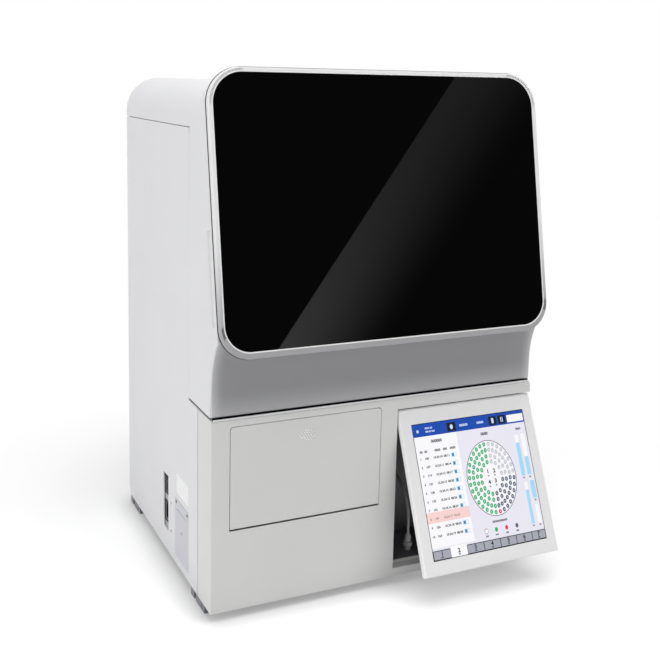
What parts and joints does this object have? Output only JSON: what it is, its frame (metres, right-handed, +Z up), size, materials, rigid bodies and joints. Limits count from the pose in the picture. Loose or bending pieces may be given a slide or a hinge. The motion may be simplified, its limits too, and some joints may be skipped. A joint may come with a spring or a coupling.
{
  "type": "immunoassay analyzer",
  "caption": "Bench-top laboratory analyzer with a lift-up dark-windowed hood over a reagent carousel, a drop-down waste flap and a tilting touch screen.",
  "frame": {"origin": "on the bench, under the middle of the whole object's box", "axes": "+Z up, +X to the user's right, -Y towards the user in front"},
  "size_m": [0.58, 0.6115, 0.8518],
  "materials": {
    "white_plastic": "fine moulded texture",
    "grey_plastic": "fine moulded texture",
    "silver_plastic": "satin silver paint",
    "dark_plastic": "moulded",
    "black_glass": "polished, nearly opaque",
    "display_glass": "lit touch display",
    "sheet_steel": "powder coat",
    "aluminium": "satin anodised",
    "bright_steel": "turned and brushed",
    "rubber": "moulded",
    "circuit_green": "solder mask",
    "rack_blue": "moulded"
  },
  "bodies": {
    "base": {"left_side_panel": "white_plastic", "right_side_panel": "white_plastic", "rear_panel": "white_plastic", "front_fascia": "white_plastic", "label_plate": "white_plastic", "wash_fitting": "white_plastic", "flap_latch": "grey_plastic", "waste_bin": "grey_plastic", "screen_catch": "grey_plastic", "switch_plate": "grey_plastic", "wash_well": "grey_plastic", "compartment_liner": "dark_plastic", "pocket_liner": "dark_plastic", "power_inlet": "dark_plastic", "carousel_motor": "dark_plastic", "reader_module": "dark_plastic", "syringe_pump": "dark_plastic", "fan_frame": "dark_plastic", "base_pan": "sheet_steel", "service_cover": "sheet_steel", "frame_plate_left": "sheet_steel", "frame_plate_right": "sheet_steel", "screen_hinge_bracket": "sheet_steel", "power_supply": "sheet_steel", "deck_plate": "aluminium", "rear_bulkhead": "aluminium", "incubator_housing": "aluminium", "gantry_rail": "aluminium", "hinge_fixed_leaf_left": "bright_steel", "hinge_fixed_leaf_right": "bright_steel", "hinge_pin_left": "bright_steel", "hinge_pin_right": "bright_steel", "flap_pin": "bright_steel", "screen_hinge_pin": "bright_steel", "foot_front_left": "rubber", "foot_front_right": "rubber", "foot_rear_left": "rubber", "foot_rear_right": "rubber", "control_board": "circuit_green"},
    "hood": {"hood_shell": "white_plastic", "window_frame": "silver_plastic", "window_glass": "black_glass", "hinge_hood_leaf_left": "bright_steel", "hinge_hood_leaf_right": "bright_steel"},
    "screen": {"screen_bezel": "white_plastic", "display_panel": "display_glass", "screen_back_cover": "dark_plastic"},
    "flap": {"flap_door": "grey_plastic"},
    "rocker": {"power_rocker": "dark_plastic"},
    "carousel": {"carousel_turntable": "grey_plastic", "rack_a": "rack_blue", "rack_b": "rack_blue", "rack_c": "rack_blue", "rack_d": "rack_blue"},
    "incubator": {"incubator_ring": "dark_plastic"},
    "gantry_carriage": {"x_carriage": "dark_plastic"},
    "probe_carriage": {"y_carriage": "grey_plastic"},
    "probe": {"probe": "bright_steel"},
    "fan": {"fan_rotor": "dark_plastic"},
    "plunger": {"syringe_plunger": "white_plastic"}
  },
  "joints": [
    {"name": "hood_hinge", "type": "hinge", "parent": "base", "child": "hood", "pos_m": [0, 0.30081, 0.7574], "axis": [-1, 0, 0], "range_deg": [0, 50]},
    {"name": "screen_hinge", "type": "hinge", "parent": "base", "child": "screen", "pos_m": [0, -0.18749, 0.28862], "axis": [-1, 0, 0], "range_deg": [-23.7, 5]},
    {"name": "flap_hinge", "type": "hinge", "parent": "base", "child": "flap", "pos_m": [-0.1305, -0.20149, 0.151], "axis": [1, 0, 0], "range_deg": [0, 90]},
    {"name": "power_rocker", "type": "hinge", "parent": "base", "child": "rocker", "pos_m": [-0.2857, 0.03951, 0.1325], "axis": [0, 1, 0], "range_deg": [0, 11.5]},
    {"name": "carousel_spin", "type": "hinge", "parent": "base", "child": "carousel", "pos_m": [-0.08, 0.00751, 0.3403], "axis": [0, 0, 1], "continuous": true},
    {"name": "incubator_spin", "type": "hinge", "parent": "base", "child": "incubator", "pos_m": [0.205, 0.03051, 0.3283], "axis": [0, 0, 1], "continuous": true},
    {"name": "carriage_slide", "type": "slide", "parent": "base", "child": "gantry_carriage", "axis": [-1, 0, 0], "range_m": [0, 0.44]},
    {"name": "arm_slide", "type": "slide", "parent": "gantry_carriage", "child": "probe_carriage", "axis": [0, 1, 0], "range_m": [0, 0.27]},
    {"name": "probe_slide", "type": "slide", "parent": "probe_carriage", "child": "probe", "axis": [0, 0, -1], "range_m": [0, 0.095]},
    {"name": "fan_spin", "type": "hinge", "parent": "base", "child": "fan", "pos_m": [0.17, 0.27871, 0.616], "axis": [0, 1, 0], "continuous": true},
    {"name": "plunger_slide", "type": "slide", "parent": "base", "child": "plunger", "axis": [0, 0, -1], "range_m": [0, 0.03]}
  ]
}
